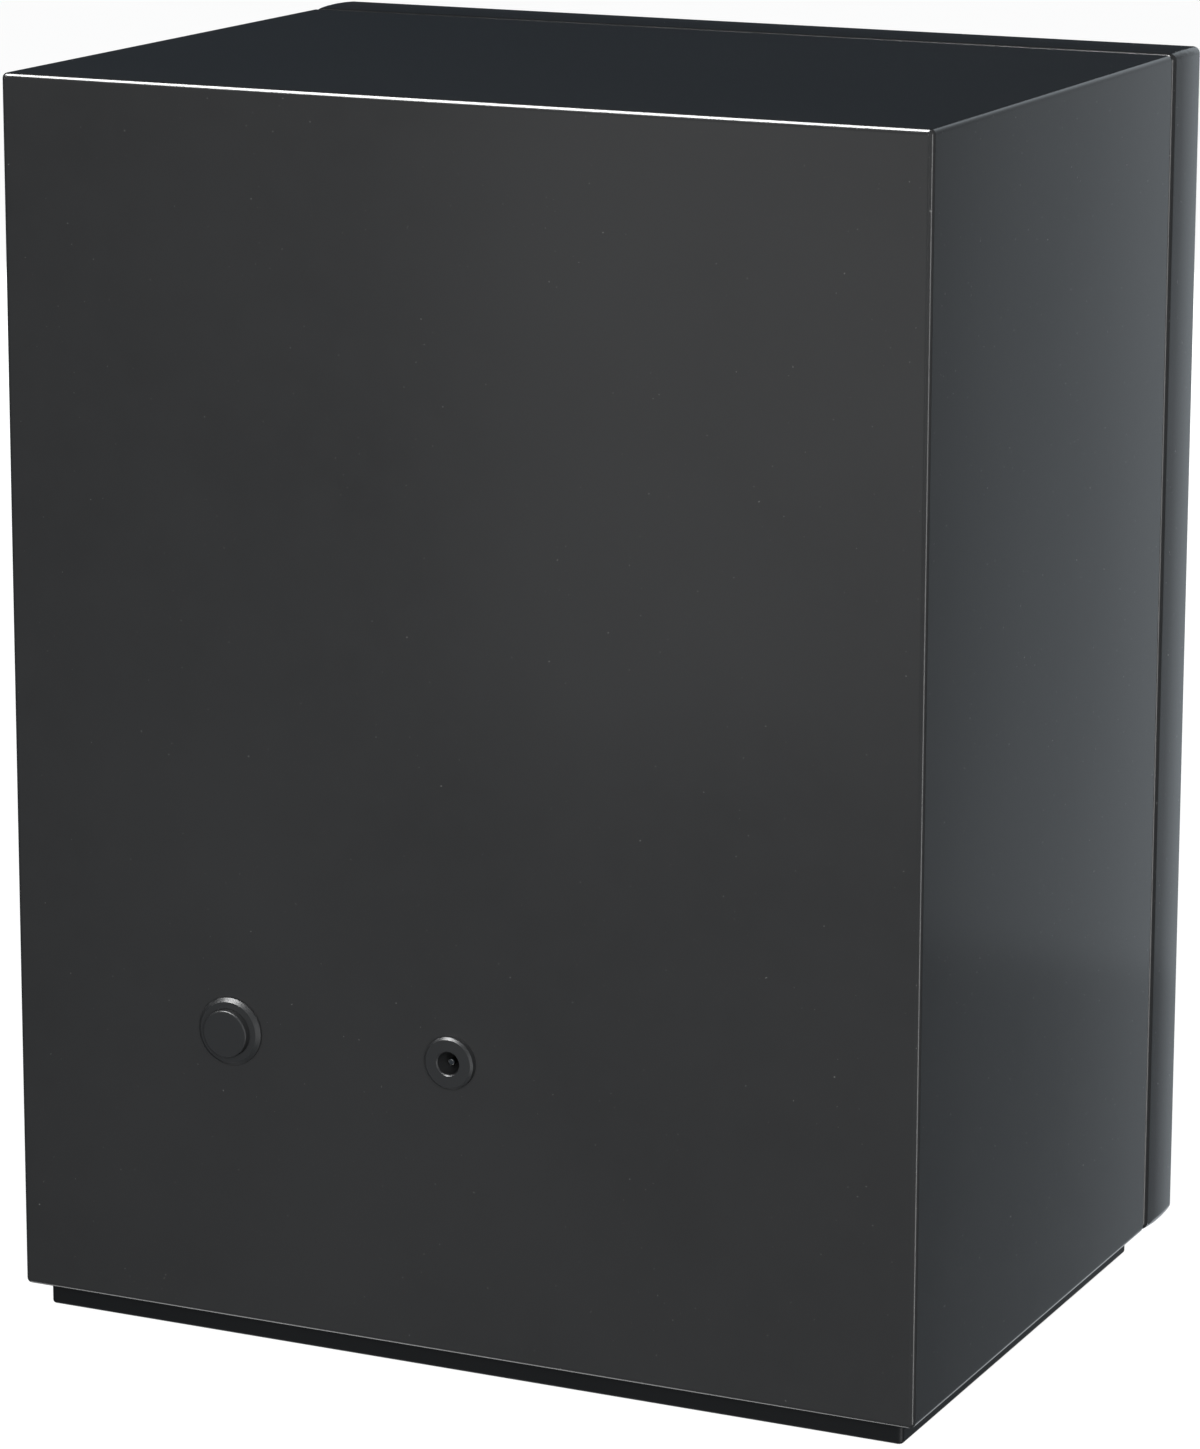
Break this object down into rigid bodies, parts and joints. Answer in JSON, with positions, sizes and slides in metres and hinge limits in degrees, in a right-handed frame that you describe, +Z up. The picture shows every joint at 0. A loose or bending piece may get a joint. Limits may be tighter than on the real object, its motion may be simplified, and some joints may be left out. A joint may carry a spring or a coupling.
{
  "type": "air purifier",
  "caption": "Plain upright box air purifier with a pull-off front cover over its filter, a rear power button and DC socket, and a recessed plinth.",
  "frame": {"origin": "on the floor, under the middle of the whole object's box", "axes": "+Z up, -Y out of the front cover, +Y out of the rear face with the button and socket"},
  "size_m": [0.261, 0.1996, 0.3375],
  "materials": {
    "shell_plastic": "satin moulded plastic, very fine texture",
    "cover_plastic": "satin moulded plastic, very fine texture",
    "plinth_plastic": "matte black moulded plastic",
    "inner_plastic": "matte moulded plastic",
    "button_plastic": "semi-gloss moulded plastic",
    "fan_plastic": "pale glass-filled plastic",
    "rubber": "soft black rubber",
    "foam": "closed-cell foam",
    "steel": "zinc-plated steel",
    "dark_steel": "blackened steel",
    "nickel": "nickel plate",
    "copper": "enamelled copper wire",
    "filter_paper": "pleated filter paper",
    "filter_card": "pale filter frame",
    "webbing": "woven tape",
    "board": "green solder mask",
    "chip": "moulded black package",
    "connector": "natural nylon",
    "cable": "black sleeve"
  },
  "bodies": {
    "housing": {"body_shell": "shell_plastic", "base_plinth": "plinth_plastic", "foot_pads": "rubber", "plinth_screws": "steel", "bulkhead": "inner_plastic", "bulkhead_screws": "steel", "filter_bay": "inner_plastic", "bay_screws": "steel", "bay_gasket": "foam", "strike_plates": "steel", "inlet_guard": "inner_plastic", "fan_inlet_ring": "inner_plastic", "inlet_ring_screws": "steel", "motor_can": "dark_steel", "motor_end_cap": "dark_steel", "motor_bearings": "steel", "bulkhead_standoffs": "inner_plastic", "rear_wall_standoffs": "inner_plastic", "stator_core": "steel", "stator_coils": "copper", "motor_bracket": "steel", "bracket_grommets": "rubber", "bracket_screws": "steel", "motor_screws": "steel", "button_bezel": "button_plastic", "button_gasket": "rubber", "button_nut": "inner_plastic", "button_spring": "steel", "button_switch": "chip", "button_terminals": "nickel", "jack_body": "button_plastic", "jack_pin": "nickel", "jack_nut": "nickel", "jack_terminals": "nickel", "control_board": "board", "board_components": "chip", "board_connectors": "connector", "board_screws": "steel", "power_cable": "cable", "button_cable": "cable", "motor_cable": "cable", "cable_clips": "connector"},
    "cover": {"front_cover": "cover_plastic", "intake_grille": "inner_plastic", "outlet_louvre": "inner_plastic", "grille_rivets": "inner_plastic", "cover_magnets": "nickel", "locating_pins": "inner_plastic"},
    "filter": {"filter_frame": "filter_card", "filter_media": "filter_paper", "filter_seal": "foam", "pre_filter": "inner_plastic", "pull_tab": "webbing"},
    "fan": {"impeller": "fan_plastic", "impeller_nut": "steel", "motor_shaft": "steel", "rotor_core": "steel", "rotor_magnets": "dark_steel"},
    "button": {"button_cap": "button_plastic", "button_plunger": "inner_plastic"}
  },
  "joints": [
    {"name": "cover_slide", "type": "slide", "parent": "housing", "child": "cover", "axis": [0, -1, 0], "range_m": [0, 0.15]},
    {"name": "filter_slide", "type": "slide", "parent": "housing", "child": "filter", "axis": [0, -1, 0], "range_m": [0, 0.075]},
    {"name": "fan_spin", "type": "hinge", "parent": "housing", "child": "fan", "pos_m": [0, 0, 0.128], "axis": [0, 1, 0], "continuous": true},
    {"name": "power_button", "type": "slide", "parent": "housing", "child": "button", "axis": [0, -1, 0], "range_m": [0, 0.0018], "stiffness_N_per_m": 600, "springref_m": -0.003, "deforming": ["button_spring"]}
  ],
  "couplings": [
    {"joint": "filter_slide", "follows": "cover_slide", "ratio": 0.5}
  ]
}
